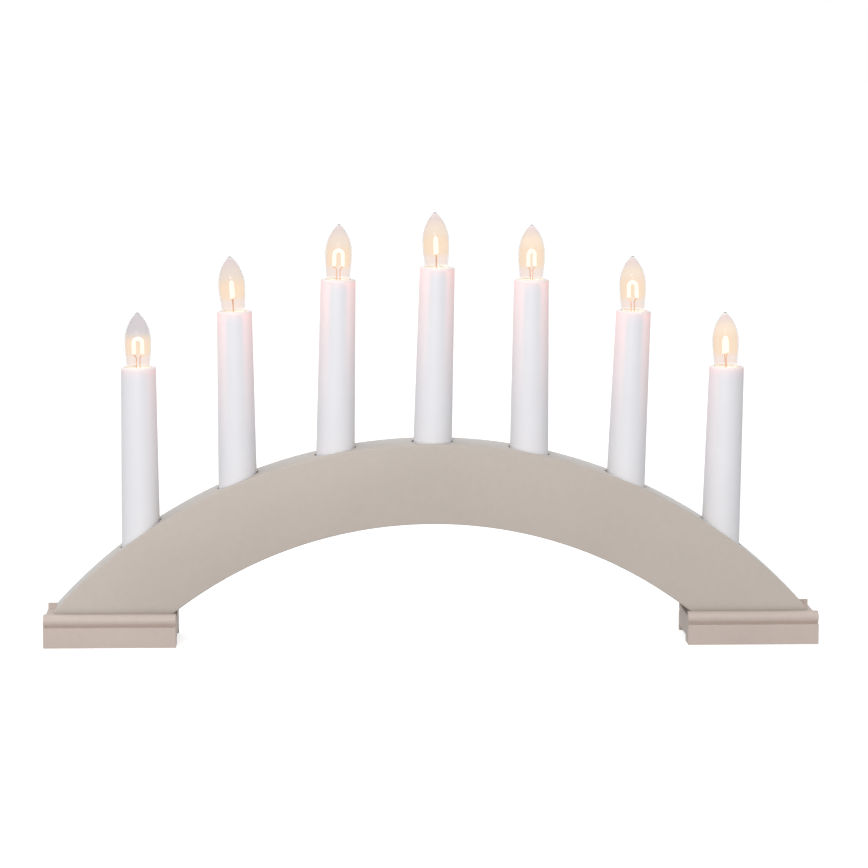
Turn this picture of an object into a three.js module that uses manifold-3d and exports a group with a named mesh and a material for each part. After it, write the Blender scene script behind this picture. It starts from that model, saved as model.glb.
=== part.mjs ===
// An electric Advent candle arch for a window sill. A painted wooden arch stands on two moulded
// feet and carries seven candle tubes, each with a flame-shaped lamp screwed into its holder.
// Millimetres, +Z up, origin on the table under the middle of the arch, front towards -Y.
import * as THREE from 'three';
import { mergeVertices } from 'three/addons/utils/BufferGeometryUtils.js';
import Module from 'manifold-3d';

const wasm = await Module();
wasm.setup();

// Arch: one board sawn to two arcs that don't share a centre, so it widens towards its toes
const overallWidth = 420;
const archThickness = 30;
const archCrownHeight = 109.5;
const archCrownBand = 43.4;
const archToeInset = 5.5;
const archToeHeight = 3.66;
const archSeatLength = 60.94;
const archEdgeRound = 0.8;
const archArcSteps = 36;

// Feet: lengths of moulding with a bead along both top edges and a bed between the beads. A wide
// groove underneath leaves a broad strip along the front and a thin one along the back to stand on.
const footLength = 71.3;
const footHeight = 17.8;
const footPlinthHeight = 11.1;
const footBeadSetback = 0.6;
const footBeadTurnUnder = 78;
const footCrestFlat = 1.21;
const footBedDepth = 2.8;
const footBedClearance = 0.3;
const footFrontStrip = 11.2;
const footBackStrip = 2.2;
const footGrooveHeight = 3.4;

// Countersunk wood screws, driven up through each foot's groove into the arch
const footScrewsPerFoot = 2;
const footScrewInset = 20;
const footScrewPitch = 22;
const footScrewRadius = 2;
const footScrewHeadRadius = 4;
const footScrewHeadRim = 0.4;
const footScrewHeadHeight = 2.4;
const footScrewLength = 23;
const screwPointLength = 2.5;
const screwHoleClearance = 0.3;

// Candle tubes: tapered plastic mouldings, loose enough in their bores to lean a little
const candleCount = 7;
const candleEndInset = 52.05;
const tubeLength = 116;
const tubeBaseRadius = 10.45;
const tubeTopRadius = 9.4;
const tubeWall = 1.3;
const tubeSpigotLength = 22;
const tubeRimRound = 0.8;
const tubeLipThickness = 1.5;
const tubeLean = [-0.3, -0.8, 0.9, 1.3, 0.3, 1.9, 1.1];
const boreClearance = 0.85;
const boreDepthAtCrown = 22;
const boreDepthAtEnds = 26;
const boreSeatGap = 0.3;

// Ribs front and back on the spigot: the tube can lean sideways in its bore, not forwards
const ribAngles = [-90, 90];
const ribLength = 22.6;
const ribWidth = 1.2;
const ribHeight = 0.4;
const ribRootDepth = 0.6;

// Lamps: blown flame-shaped glass on a small screw cap
const lampHeight = 30.2;
const lampBellyRadius = 7.2;
const lampBellyHeight = 13.8;
const lampFootRadius = 6.4;
const lampNeckRadius = 3.9;
const lampNeckTop = 4.1;
const lampNeckEnd = 6.8;
const lampGlassWall = 0.6;
const lampTipWall = 1.3;
const lampMouthClearance = 0.9;
const lampLean = [-0.2, -3.1, 0.2, -3.2, -0.3, -3, -2.9];
const lampTurn = [8, 84, -6, 80, 38, -30, 62];
const capRadius = 4.75;
const capWall = 0.4;
const capLength = 8;
const capNeckOverlap = 2.4;
const capTipRadius = 1.7;
const capInsulatorHeight = 1.5;

// Inside the glass: a bent U of lit filament, held by two lead wires that rise from the cap
const filamentRadius = 1;
const filamentBarOffset = 2.3;
const filamentBottom = 6.5;
const filamentTop = 16.6;
const leadWireRadius = 0.32;
const leadWireOffset = 0.95;
const weldGap = 0.3;

// Lampholder in the head of each tube, with its brass shell and the strip that meets the lamp's tip
const holderClearance = 0.4;
const holderBottomDepth = 18.9;
const holderFunnelDepth = 2.4;
const shellClearance = 0.7;
const shellWall = 0.4;
const shellSeatGap = 0.3;
const contactWidth = 3;
const contactLength = 6.4;
const contactThickness = 0.4;
const contactGap = 0.5;
const contactWellRadius = 4.4;
const contactWellDepth = 3;
const contactRootDepth = 0.4;

// Wiring: a channel under the arch with a cover strip let into a rebate
const channelWidth = 7.6;
const channelDepth = 5;
const rebateWidth = 16.4;
const rebateDepth = 2;
const coverThickness = 1.4;
const coverClearance = 0.3;
const channelFootGap = 1.2;
const wireHoleRadius = 3.5;
const wireHoleEndInset = 4.82;

// Insulated leads between the lampholders, and the bush where the mains lead enters
const leadRadius = 0.8;
const leadSides = 6;
const leadGap = 0.35;
const leadSideClearance = 0.3;
const arrivingLane = -1.6;
const leavingLane = 0.4;
const returnLane = 2.6;
const leadSlack = 1.2;
const leadHoleShare = 0.6;
const leadRunStep = 4.5;
const leadBendRadius = 1.6;
const inletEndInset = 27.5;
const inletHoleRadius = 4;
const inletWall = 0.8;
const bushClearance = 0.4;
const bushLength = 8.5;
const bushFlangeRadius = 5.6;
const bushFlangeThickness = 1.4;
const bushBoreWidth = 5.4;
const bushBoreHeight = 3;

const paint = new THREE.MeshStandardMaterial({ color: '#c1b5aa', roughness: 0.55, metalness: 0 });
const footPaint = new THREE.MeshStandardMaterial({ color: '#c5b7ae', roughness: 0.5, metalness: 0 });
const whitePlastic = new THREE.MeshStandardMaterial({ color: '#ececf0', roughness: 0.35, metalness: 0 });
const holderPlastic = new THREE.MeshStandardMaterial({ color: '#e4e1d8', roughness: 0.5, metalness: 0 });
const clearGlass = new THREE.MeshStandardMaterial({
  color: '#f1ece6', roughness: 0.05, metalness: 0, transparent: true, opacity: 0.35,
});
const litFilament = new THREE.MeshStandardMaterial({
  color: '#fff3d2', roughness: 0.4, metalness: 0, emissive: '#ffd9a0',
});
const brass = new THREE.MeshStandardMaterial({ color: '#c9a45c', roughness: 0.3, metalness: 1 });
const zincSteel = new THREE.MeshStandardMaterial({ color: '#b9bbb8', roughness: 0.35, metalness: 1 });
const leadSheath = new THREE.MeshStandardMaterial({ color: '#e9e7e2', roughness: 0.5, metalness: 0 });

const radians = THREE.MathUtils.degToRad;
const point = (x, y, z) => new THREE.Vector3(x, y, z);

// Heights and widths that follow from the driving sizes. Each arc rises from the seat or the toe
// to its crown, and its radius follows from that rise and from half its span.
const archBottomZ = footHeight - footBedDepth;
const toeX = overallWidth / 2 - archToeInset;
const footInnerX = overallWidth / 2 - footLength;
const radiusOfArc = (halfSpan, rise) => (halfSpan ** 2 + rise ** 2) / (2 * rise);
const outerRise = archCrownHeight - archBottomZ - archToeHeight;
const innerRise = archCrownHeight - archCrownBand - archBottomZ;
const archOuterRadius = radiusOfArc(toeX, outerRise);
const archInnerRadius = radiusOfArc(toeX - archSeatLength, innerRise);
const outerCentreZ = archCrownHeight - archOuterRadius;
const innerCentreZ = archCrownHeight - archCrownBand - archInnerRadius;
const boreRadius = tubeBaseRadius + boreClearance;
const mouthRadius = lampFootRadius + lampMouthClearance;
const shellRadius = capRadius + shellClearance + shellWall;
const holderRadius = tubeTopRadius - tubeWall - holderClearance;
const holderTop = -tubeLipThickness - holderClearance;
const holderBore = shellRadius + holderClearance;
const capTop = -(lampNeckEnd - capNeckOverlap);
const capBottom = capTop - capLength;
const capTipBottom = capBottom - capInsulatorHeight;
const shellTop = capTop - shellSeatGap;
const shellBottom = capBottom - shellSeatGap;
const ledgeZ = shellBottom - shellSeatGap;
const contactWellZ = ledgeZ - contactWellDepth;
const bedHalfWidth = archThickness / 2 + footBedClearance;
const channelTopRadius = archInnerRadius + rebateDepth + channelDepth;
const leadRunRadius = archInnerRadius + rebateDepth + leadSideClearance + 2 * leadRadius;
const leadCrossRadius = channelTopRadius - leadSideClearance - leadRadius;
const inletRadius = archInnerRadius + rebateDepth + inletWall + inletHoleRadius;
const channelEndX = footInnerX - channelFootGap;
const inletPosition = channelEndX - inletEndInset;

// Boolean work: a closed mesh becomes a solid, is cut or joined, and comes back as a geometry
function toSolid(geometry) {
  const bare = geometry.clone();
  bare.deleteAttribute('normal');
  bare.deleteAttribute('uv');
  const merged = mergeVertices(bare, 1e-4);
  const kept = [];
  for (let i = 0; i < merged.index.count; i += 3) {
    const corners = [0, 1, 2].map((k) => merged.index.getX(i + k));
    if (new Set(corners).size === 3) kept.push(...corners);
  }
  return new wasm.Manifold(new wasm.Mesh({
    numProp: 3,
    vertProperties: new Float32Array(merged.attributes.position.array),
    triVerts: new Uint32Array(kept),
  }));
}

function toGeometry(solid) {
  const mesh = solid.getMesh();
  const geometry = new THREE.BufferGeometry();
  geometry.setAttribute('position', new THREE.BufferAttribute(mesh.vertProperties, 3));
  geometry.setIndex(new THREE.BufferAttribute(mesh.triVerts, 1));
  geometry.computeVertexNormals();
  return geometry;
}

function cut(geometry, tools) {
  let solid = toSolid(geometry);
  for (const tool of tools) solid = solid.subtract(toSolid(tool));
  return toGeometry(solid);
}

function join(geometries) {
  let solid = toSolid(geometries[0]);
  for (const geometry of geometries.slice(1)) solid = solid.add(toSolid(geometry));
  return toGeometry(solid);
}

// A profile of [radius, height] points turned about the Z axis
function revolve(profile, segments) {
  const outline = profile.map(([radius, height]) => new THREE.Vector2(radius, height));
  return new THREE.LatheGeometry(outline, segments).rotateX(Math.PI / 2);
}

function revolveClosed(profile, segments) {
  return revolve([...profile, profile[0]], segments);
}

// A shape drawn in X and Z, extruded evenly to both sides of Y = 0
function extrudeAcross(shape, thickness, curveSegments, edge = 0) {
  const geometry = new THREE.ExtrudeGeometry(shape, {
    depth: thickness - 2 * edge,
    curveSegments,
    bevelEnabled: edge > 0,
    bevelThickness: edge,
    bevelSize: edge,
    bevelOffset: -edge,
    bevelSegments: 1,
  });
  return geometry.translate(0, 0, edge - thickness / 2).rotateX(Math.PI / 2);
}

// A cylinder between two points, for drilled holes
function rod(from, to, radius, segments) {
  const axis = to.clone().sub(from);
  const turn = new THREE.Quaternion().setFromUnitVectors(point(0, 1, 0), axis.clone().normalize());
  const middle = from.clone().add(to).multiplyScalar(0.5);
  const geometry = new THREE.CylinderGeometry(radius, radius, axis.length(), segments);
  return geometry.applyQuaternion(turn).translate(middle.x, middle.y, middle.z);
}

// A length of arc-shaped strip about the inner centre, given by its radii and half angle
function arcStrip(innerRadius, outerRadius, halfAngle, width, steps) {
  const start = Math.PI / 2 - halfAngle;
  const end = Math.PI / 2 + halfAngle;
  const shape = new THREE.Shape();
  shape.absarc(0, innerCentreZ, outerRadius, start, end, false);
  shape.absarc(0, innerCentreZ, innerRadius, end, start, true);
  return extrudeAcross(shape, width, steps / 2);
}

function onInnerArc(radius, angle, y = 0) {
  return point(radius * Math.sin(angle), y, innerCentreZ + radius * Math.cos(angle));
}

// Places of the candles, and points along the axis of a leaning tube
const lastCandle = (candleCount - 1) / 2;
const candlePitch = (overallWidth / 2 - candleEndInset) / lastCandle;
const candleX = (i) => (i - lastCandle) * candlePitch;
const leanOf = (list, i) => radians(list[i % list.length]);
const surfaceZ = (x) => outerCentreZ + Math.sqrt(archOuterRadius ** 2 - x ** 2);

function boreDepth(i) {
  const share = Math.abs(i - lastCandle) / lastCandle;
  return THREE.MathUtils.lerp(boreDepthAtCrown, boreDepthAtEnds, share);
}

const boreFloor = (i) => surfaceZ(candleX(i)) - boreDepth(i);

// The wire holes spread less than the bores, so that the last ones still meet the channel
const wireHoleSpread = (channelEndX - wireHoleEndInset) / candleX(candleCount - 1);

// A tube leans about the middle of its bore and rests on one edge of its base
const leanPivot = (i) => boreDepth(i) / 2;

function leanPivotZ(i) {
  const dip = tubeBaseRadius * Math.abs(Math.sin(leanOf(tubeLean, i)));
  return boreFloor(i) + boreSeatGap + dip + leanPivot(i);
}

function onTubeAxis(i, height) {
  const lean = leanOf(tubeLean, i);
  const along = height - leanPivot(i);
  return point(candleX(i) + along * Math.sin(lean), 0, leanPivotZ(i) + along * Math.cos(lean));
}

// The wire hole of candle i runs from the channel up to the middle of its bore's floor
function wireHole(i) {
  const middleRadius = archInnerRadius + rebateDepth + channelDepth / 2;
  const angle = Math.asin((wireHoleSpread * candleX(i)) / middleRadius);
  return { angle, from: onInnerArc(middleRadius, angle), to: point(candleX(i), 0, boreFloor(i) + 1) };
}

// Channel and cover end short of the feet
const channelHalfAngle = Math.asin(channelEndX / (archInnerRadius + rebateDepth));
const coverHalfAngle = channelHalfAngle - coverClearance / archInnerRadius;

function footScrewPlaces() {
  const places = [];
  for (const side of [-1, 1]) {
    for (let k = 0; k < footScrewsPerFoot; k += 1) {
      places.push(side * (overallWidth / 2 - footScrewInset - k * footScrewPitch));
    }
  }
  return places;
}

// Countersunk screw with its head at the groove, grown all round where it is its own hole
function footScrew(x, grow = 0) {
  const shape = revolve([
    [0, -grow],
    [footScrewHeadRadius + grow, -grow],
    [footScrewHeadRadius + grow, footScrewHeadRim + grow],
    [footScrewRadius + grow, footScrewHeadHeight + grow],
    [footScrewRadius + grow, footScrewLength - screwPointLength + grow],
    [0, footScrewLength + 2 * grow],
  ], 10);
  return shape.translate(x, 0, footGrooveHeight + screwHoleClearance);
}

function archBoard() {
  const startZ = archBottomZ - 6;
  const outerStart = Math.asin((startZ - outerCentreZ) / archOuterRadius);
  const innerStart = Math.asin((startZ - innerCentreZ) / archInnerRadius);
  const shape = new THREE.Shape();
  shape.absarc(0, outerCentreZ, archOuterRadius, outerStart, Math.PI - outerStart, false);
  shape.absarc(0, innerCentreZ, archInnerRadius, Math.PI - innerStart, innerStart, true);
  return extrudeAcross(shape, archThickness, archArcSteps / 2, archEdgeRound);
}

// Saw cuts: the seat on the feet is level, and each thin toe is blunted upright
function archSawCuts() {
  const deep = 2 * archThickness;
  const seatCut = new THREE.BoxGeometry(2 * overallWidth, deep, archCrownHeight);
  seatCut.translate(0, 0, archBottomZ - archCrownHeight / 2);
  const toeCuts = [-1, 1].map((side) => {
    const box = new THREE.BoxGeometry(overallWidth, deep, archCrownHeight);
    return box.translate(side * (toeX + overallWidth / 2), 0, archBottomZ);
  });
  return [seatCut, ...toeCuts];
}

function archDrillings() {
  const tools = [];
  for (let i = 0; i < candleCount; i += 1) {
    const floor = point(candleX(i), 0, boreFloor(i));
    tools.push(rod(floor, point(floor.x, 0, archCrownHeight + boreRadius), boreRadius, 28));
    const hole = wireHole(i);
    tools.push(rod(hole.from, hole.to, wireHoleRadius, 12));
  }
  const inletMiddle = onInnerArc(inletRadius, -Math.asin(inletPosition / inletRadius));
  const outside = inletMiddle.clone().setY(archThickness);
  tools.push(rod(inletMiddle, outside, inletHoleRadius, 16));
  for (const x of footScrewPlaces()) tools.push(footScrew(x, screwHoleClearance));
  return tools;
}

function buildArch() {
  const below = archInnerRadius - rebateDepth;
  const channel = arcStrip(below, channelTopRadius, channelHalfAngle, channelWidth, archArcSteps);
  const rebateTop = archInnerRadius + rebateDepth;
  const rebate = arcStrip(below, rebateTop, channelHalfAngle, rebateWidth, archArcSteps);
  return cut(archBoard(), [...archSawCuts(), channel, rebate, ...archDrillings()]);
}

// Foot section in Y and Z: plinth, turned-under bead, bed for the arch, groove underneath
function footSection() {
  const turnUnder = radians(footBeadTurnUnder);
  const beadRadius = (footHeight - footPlinthHeight) / (1 + Math.sin(turnUnder));
  const beadY = bedHalfWidth + footCrestFlat;
  const beadZ = footHeight - beadRadius;
  const halfDepth = beadY + beadRadius + footBeadSetback;
  const grooveFront = footFrontStrip - halfDepth;
  const grooveBack = halfDepth - footBackStrip;
  const shape = new THREE.Shape();
  shape.moveTo(grooveFront, 0);
  shape.lineTo(-halfDepth, 0);
  shape.lineTo(-halfDepth, footPlinthHeight);
  shape.absarc(-beadY, beadZ, beadRadius, Math.PI + turnUnder, Math.PI / 2, true);
  shape.lineTo(-bedHalfWidth, footHeight);
  shape.lineTo(-bedHalfWidth, archBottomZ);
  shape.lineTo(bedHalfWidth, archBottomZ);
  shape.lineTo(bedHalfWidth, footHeight);
  shape.absarc(beadY, beadZ, beadRadius, Math.PI / 2, -turnUnder, true);
  shape.lineTo(halfDepth, footPlinthHeight);
  shape.lineTo(halfDepth, 0);
  shape.lineTo(grooveBack, 0);
  shape.lineTo(grooveBack, footGrooveHeight);
  shape.lineTo(grooveFront, footGrooveHeight);
  return shape;
}

function buildFoot(side) {
  const bar = new THREE.ExtrudeGeometry(footSection(), {
    depth: footLength,
    curveSegments: 5,
    bevelEnabled: false,
  });
  const lengthways = new THREE.Matrix4().makeBasis(point(0, 1, 0), point(0, 0, 1), point(1, 0, 0));
  bar.translate(0, 0, -footLength / 2).applyMatrix4(lengthways);
  bar.translate((side * (overallWidth - footLength)) / 2, 0, 0);
  const own = footScrewPlaces().filter((x) => Math.sign(x) === side);
  return cut(bar, own.map((x) => footScrew(x, screwHoleClearance)));
}

// A thin strip glued into the rebate hides the leads
function buildCover() {
  const inner = archInnerRadius + coverClearance;
  const width = rebateWidth - 2 * coverClearance;
  return arcStrip(inner, inner + coverThickness, coverHalfAngle, width, archArcSteps);
}

function buildTube() {
  const rimCentre = [tubeTopRadius - tubeRimRound, tubeLength - tubeRimRound];
  const rimArc = [0, 45, 90].map((angle) => [
    rimCentre[0] + tubeRimRound * Math.cos(radians(angle)),
    rimCentre[1] + tubeRimRound * Math.sin(radians(angle)),
  ]);
  const tube = revolveClosed([
    [tubeBaseRadius, 0],
    [tubeBaseRadius, tubeSpigotLength],
    ...rimArc,
    [mouthRadius, tubeLength],
    [mouthRadius, tubeLength - tubeLipThickness],
    [tubeTopRadius - tubeWall, tubeLength - tubeLipThickness],
    [tubeBaseRadius - tubeWall, 0],
  ], 20);
  const ribs = ribAngles.map((angle) => {
    const depth = ribHeight + ribRootDepth;
    const rib = new THREE.BoxGeometry(depth, ribWidth, ribLength);
    rib.translate(tubeBaseRadius + ribHeight - depth / 2, 0, ribLength / 2);
    return rib.rotateZ(radians(angle));
  });
  return join([tube, ...ribs]);
}

// The lampholder, the shell and the lamp are drawn from the plane of the tube's top, Z = 0
function buildHolder() {
  const body = revolve([
    [0, -holderBottomDepth],
    [holderRadius, -holderBottomDepth],
    [holderRadius, holderTop],
    [mouthRadius, holderTop],
    [holderBore, holderTop - holderFunnelDepth],
    [holderBore, ledgeZ],
    [contactWellRadius, ledgeZ],
    [contactWellRadius, contactWellZ],
    [0, contactWellZ],
  ], 12);
  return join([body, contactStrip()]);
}

function buildShell() {
  return revolveClosed([
    [shellRadius - shellWall, shellBottom],
    [shellRadius, shellBottom],
    [shellRadius, shellTop],
    [shellRadius - shellWall, shellTop],
  ], 12);
}

// A bent strip: its foot is riveted in the well and its tongue springs up under the lamp's tip
function contactStrip() {
  const foot = contactWellZ - contactRootDepth;
  const tongue = capTipBottom - contactGap - contactThickness;
  const half = contactLength / 2;
  const shape = new THREE.Shape();
  shape.moveTo(-half, foot);
  shape.lineTo(-half / 2, foot);
  shape.lineTo(0, tongue);
  shape.lineTo(half / 2, tongue);
  shape.lineTo(half / 2, tongue + contactThickness);
  shape.lineTo(-contactThickness / 2, tongue + contactThickness);
  shape.lineTo(-half / 2 - contactThickness / 2, contactWellZ + contactThickness);
  shape.lineTo(-half, contactWellZ + contactThickness);
  return extrudeAcross(shape, contactWidth, 1);
}

// Screw cap with its insulator and tip, and the lead wires that are soldered to it
function buildCap() {
  const cap = revolve([
    [0, capTipBottom],
    [capTipRadius, capTipBottom],
    [capRadius, capBottom],
    [capRadius, capTop],
    [capRadius - capWall, capTop],
    [capRadius - capWall, capBottom + capWall],
    [0, capBottom + capWall],
  ], 12);
  return join([cap, ...leadWires()]);
}

// Two wires rise side by side, then bend outwards to the ends of the filament
function leadWires() {
  const top = filamentBottom - weldGap - leadWireRadius;
  return [-1, 1].map((side) => sweep([
    point(side * leadWireOffset, 0, capBottom + capWall / 2),
    point(side * leadWireOffset, 0, top - 1.4),
    point(side * filamentBarOffset, 0, top),
  ], leadWireRadius, 5));
}

// Half outline of the flame-shaped glass from its tip down to the end of its neck
function flameOutline(inset, tipInset, upperSteps, lowerSteps) {
  const belly = lampBellyRadius - inset;
  const foot = lampFootRadius - inset;
  const neck = lampNeckRadius - inset;
  const tip = lampHeight - tipInset;
  const upper = new THREE.CubicBezierCurve(
    new THREE.Vector2(0, tip), new THREE.Vector2(1, tip - 0.1),
    new THREE.Vector2(belly, lampBellyHeight + 9.2), new THREE.Vector2(belly, lampBellyHeight),
  );
  const lower = new THREE.CubicBezierCurve(
    new THREE.Vector2(belly, lampBellyHeight), new THREE.Vector2(belly, lampBellyHeight - 8),
    new THREE.Vector2(foot, 5.8), new THREE.Vector2(foot, 0),
  );
  const shoulder = new THREE.CubicBezierCurve(
    new THREE.Vector2(foot, 0), new THREE.Vector2(foot, -lampNeckTop / 2),
    new THREE.Vector2(neck, -lampNeckTop / 2), new THREE.Vector2(neck, -lampNeckTop),
  );
  return [
    ...upper.getPoints(upperSteps).slice(0, -1),
    ...lower.getPoints(lowerSteps).slice(0, -1),
    ...shoulder.getPoints(lowerSteps),
    new THREE.Vector2(neck, -lampNeckEnd),
  ];
}

function buildGlass() {
  const outside = flameOutline(0, 0, 5, 2).reverse();
  const inside = flameOutline(lampGlassWall, lampTipWall, 3, 1);
  return revolve([...outside, ...inside, outside[0]].map((p) => [p.x, p.y]), 14);
}

// A round bar swept along a route, with one ring of corners at each point of the route
class Route extends THREE.CatmullRomCurve3 {
  getUtoTmapping(u) {
    return u;
  }
}

function sweep(points, radius, sides) {
  const section = new THREE.Shape();
  for (let k = 0; k < sides; k += 1) {
    const angle = (2 * Math.PI * k) / sides;
    const corner = [radius * Math.cos(angle), radius * Math.sin(angle)];
    if (k === 0) section.moveTo(...corner);
    else section.lineTo(...corner);
  }
  return new THREE.ExtrudeGeometry(section, {
    steps: points.length - 1,
    bevelEnabled: false,
    extrudePath: new Route(points),
  });
}

function buildFilament() {
  const bendSteps = 5;
  const bendZ = filamentTop - filamentRadius - filamentBarOffset;
  const points = [point(-filamentBarOffset, 0, filamentBottom)];
  for (let k = 0; k <= bendSteps; k += 1) {
    const angle = Math.PI * (1 - k / bendSteps);
    const bend = point(Math.cos(angle), 0, Math.sin(angle)).multiplyScalar(filamentBarOffset);
    points.push(bend.add(point(0, 0, bendZ)));
  }
  points.push(point(filamentBarOffset, 0, filamentBottom));
  return sweep(points, filamentRadius, 6);
}

// Points of a lead from under lampholder i down its tube and wire hole into the channel
function leadDrop(i, lane) {
  const hole = wireHole(i);
  const run = hole.to.clone().sub(hole.from);
  const outward = candleX(i) < 0 ? -1 : 1;
  const low = point(outward * run.z, 0, -outward * run.x).normalize().multiplyScalar(leadSlack);
  const holderBottom = tubeLength - holderBottomDepth;
  const drop = [
    onTubeAxis(i, holderBottom - leadGap),
    onTubeAxis(i, holderBottom / 2),
    point(candleX(i) - outward * leadSlack, 0, boreFloor(i) + 3 * leadSlack),
    hole.from.clone().addScaledVector(run, leadHoleShare).add(low),
    onInnerArc(leadRunRadius, hole.angle),
  ];
  return drop.map((p) => p.setY(lane));
}

// Points along the channel, strictly between two angles, while the lead changes lane at the end
function leadRun(fromAngle, toAngle, fromLane, toLane, radius) {
  const count = Math.max(3, Math.round(Math.abs(toAngle - fromAngle) / radians(leadRunStep)));
  return Array.from({ length: count - 1 }, (unused, k) => {
    const share = (k + 1) / count;
    const crossing = THREE.MathUtils.smoothstep(share, 0.6, 0.95);
    const lane = THREE.MathUtils.lerp(fromLane, toLane, crossing);
    return onInnerArc(radius, THREE.MathUtils.lerp(fromAngle, toAngle, share), lane);
  });
}

// The lamps are in series: each lead leaves one lampholder and arrives at the next
function buildSeriesLead(i) {
  const from = wireHole(i).angle;
  const to = wireHole(i + 1).angle;
  return sweep([
    ...leadDrop(i, leavingLane),
    ...leadRun(from, to, leavingLane, arrivingLane, leadRunRadius),
    ...leadDrop(i + 1, arrivingLane).reverse(),
  ], leadRadius, leadSides);
}

// Both mains conductors start in the bush: one feeds the first lamp, one returns from the last
const inletAngle = -Math.asin(inletPosition / inletRadius);
const bushEndY = archThickness / 2 - bushLength;

function inletPoint(shift, y, radius = inletRadius) {
  return onInnerArc(radius, inletAngle + shift / inletRadius, y);
}

// Out of the bush and round into a lane of the channel, to the left (-1) or the right (1)
function inletBend(side, lane) {
  const shift = (side * bushBoreWidth) / 4;
  return [
    inletPoint(shift, bushEndY - leadGap),
    inletPoint(shift, lane + leadBendRadius, leadCrossRadius),
    inletPoint(shift + side * leadBendRadius, lane, leadCrossRadius),
  ];
}

function buildFeedLead() {
  const first = wireHole(0).angle;
  const near = onInnerArc(leadRunRadius, THREE.MathUtils.lerp(inletAngle, first, 0.7), arrivingLane);
  const drop = leadDrop(0, arrivingLane).reverse();
  return sweep([...inletBend(-1, arrivingLane), near, ...drop], leadRadius, leadSides);
}

function buildReturnLead() {
  const last = wireHole(candleCount - 1).angle;
  const run = leadRun(inletAngle, last, returnLane, returnLane, leadRunRadius);
  const drop = leadDrop(candleCount - 1, leavingLane).reverse();
  return sweep([...inletBend(1, returnLane), ...run, ...drop], leadRadius, leadSides);
}

// Oval-bored bush with a flange against the back of the arch
function buildBush() {
  const bodyRadius = inletHoleRadius - bushClearance;
  const flangeFace = archThickness / 2 + bushClearance;
  const back = flangeFace + bushFlangeThickness;
  const body = rod(point(0, bushEndY, 0), point(0, flangeFace + bushFlangeThickness / 2, 0), bodyRadius, 14);
  const flange = rod(point(0, flangeFace, 0), point(0, back, 0), bushFlangeRadius, 18);
  const half = (bushBoreWidth - bushBoreHeight) / 2;
  const oval = new THREE.Shape();
  oval.absarc(half, 0, bushBoreHeight / 2, -Math.PI / 2, Math.PI / 2, false);
  oval.absarc(-half, 0, bushBoreHeight / 2, Math.PI / 2, 1.5 * Math.PI, false);
  const bore = extrudeAcross(oval, 4 * archThickness, 4);
  const seat = onInnerArc(inletRadius, inletAngle);
  return cut(join([body, flange]), [bore]).translate(seat.x, 0, seat.z);
}

function named(name, geometry, material) {
  const mesh = new THREE.Mesh(geometry, material);
  mesh.name = name;
  return mesh;
}

// One lamp, drawn upright from its holder's plane and turned to where its thread stops
function lamp(number, turn) {
  const group = new THREE.Group();
  group.rotation.z = turn;
  group.add(
    named(`lamp_glass_${number}`, buildGlass(), clearGlass),
    named(`lamp_cap_${number}`, buildCap(), brass),
    named(`lamp_filament_${number}`, buildFilament(), litFilament),
  );
  return group;
}

// One candle: tube, lampholder and shell lean together, and the lamp leans in its thread
function candle(i) {
  const number = i + 1;
  const upright = new THREE.Group();
  const tubeTop = new THREE.Group();
  tubeTop.position.z = tubeLength;
  const threadMiddle = (capTop + capBottom) / 2;
  const lampPivot = new THREE.Group();
  lampPivot.position.z = threadMiddle;
  lampPivot.rotation.y = leanOf(lampLean, i);
  const lampBody = lamp(number, leanOf(lampTurn, i));
  lampBody.position.z = -threadMiddle;
  lampPivot.add(lampBody);
  tubeTop.add(
    named(`lampholder_${number}`, buildHolder(), holderPlastic),
    named(`holder_shell_${number}`, buildShell(), brass),
    lampPivot,
  );
  upright.add(named(`candle_tube_${number}`, buildTube(), whitePlastic), tubeTop);
  upright.position.z = -leanPivot(i);
  const leaning = new THREE.Group();
  leaning.rotation.y = leanOf(tubeLean, i);
  leaning.position.set(candleX(i), 0, leanPivotZ(i));
  leaning.add(upright);
  return leaning;
}

const group = new THREE.Group();
group.name = 'advent_candle_arch';
group.add(
  named('arch', buildArch(), paint),
  named('left_foot', buildFoot(-1), footPaint),
  named('right_foot', buildFoot(1), footPaint),
  named('channel_cover', buildCover(), paint),
  named('feed_lead', buildFeedLead(), leadSheath),
  named('return_lead', buildReturnLead(), leadSheath),
  named('cord_bush', buildBush(), whitePlastic),
);
footScrewPlaces().forEach((x, k) => {
  group.add(named(`foot_screw_${k + 1}`, footScrew(x), zincSteel));
});
for (let i = 0; i < candleCount; i += 1) group.add(candle(i));
for (let i = 0; i + 1 < candleCount; i += 1) {
  group.add(named(`series_lead_${i + 1}`, buildSeriesLead(i), leadSheath));
}

export default group;
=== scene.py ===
import math

import bmesh
import bpy
from mathutils import Matrix, Vector
from mathutils.geometry import interpolate_bezier


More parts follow.
